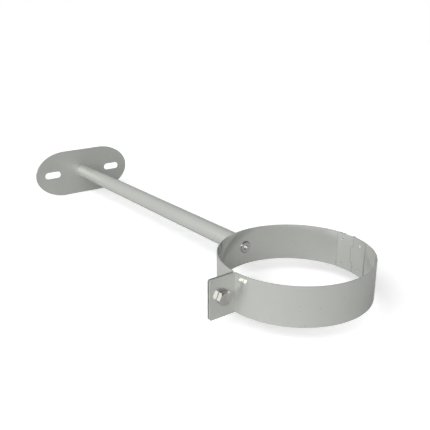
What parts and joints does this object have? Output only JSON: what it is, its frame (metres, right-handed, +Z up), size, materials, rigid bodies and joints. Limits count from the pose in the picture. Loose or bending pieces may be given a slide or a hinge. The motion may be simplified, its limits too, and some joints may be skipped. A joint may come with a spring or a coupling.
{
  "type": "flue wall clamp",
  "caption": "Hinged ring clamp for a vertical flue, held off the wall by a long round stay with a slotted oval wall plate, closed by a bolt through two folded ears.",
  "frame": {"origin": "on the flue's axis, halfway up the ring", "axes": "+Z up the flue, -X towards the wall along the stay, -Y out past the ears"},
  "size_m": [0.56, 0.185, 0.07],
  "materials": {
    "ring_steel": "satin zinc-coated strip",
    "hinge_steel": "satin zinc-coated strip",
    "rivet_steel": "satin",
    "stay_steel": "satin zinc-coated tube",
    "plate_steel": "satin zinc-coated sheet",
    "end_piece_steel": "turned",
    "screw_steel": "bright zinc-plated",
    "bolt_steel": "bright zinc-plated"
  },
  "bodies": {
    "fixed_part": {"wall_plate": "plate_steel", "wall_end_piece": "end_piece_steel", "stay_tube": "stay_steel", "ring_end_piece": "end_piece_steel", "band_screw": "screw_steel", "rear_band": "ring_steel", "rear_hinge_leaf": "hinge_steel", "rear_rivet_upper": "rivet_steel", "rear_rivet_lower": "rivet_steel", "hinge_pin": "hinge_steel"},
    "front_half": {"front_band": "ring_steel", "front_hinge_leaf": "hinge_steel", "front_rivet_upper": "rivet_steel", "front_rivet_lower": "rivet_steel"},
    "bolt": {"clamp_bolt": "bolt_steel"},
    "nut": {"clamp_nut": "bolt_steel"}
  },
  "joints": [
    {"name": "band_swing", "type": "hinge", "parent": "fixed_part", "child": "front_half", "pos_m": [0.00795, 0.07689, 0], "axis": [0, 0, 1], "range_deg": [0, 180]},
    {"name": "bolt_turn", "type": "hinge", "parent": "front_half", "child": "bolt", "pos_m": [0, -0.092, 0], "axis": [1, 0, 0], "range_deg": [0, 3600]},
    {"name": "nut_run", "type": "slide", "parent": "fixed_part", "child": "nut", "axis": [-1, 0, 0], "range_m": [0, 0.0126]}
  ],
  "couplings": [
    {"joint": "nut_run", "follows": "bolt_turn", "m_per_rad": 0.00019894}
  ]
}
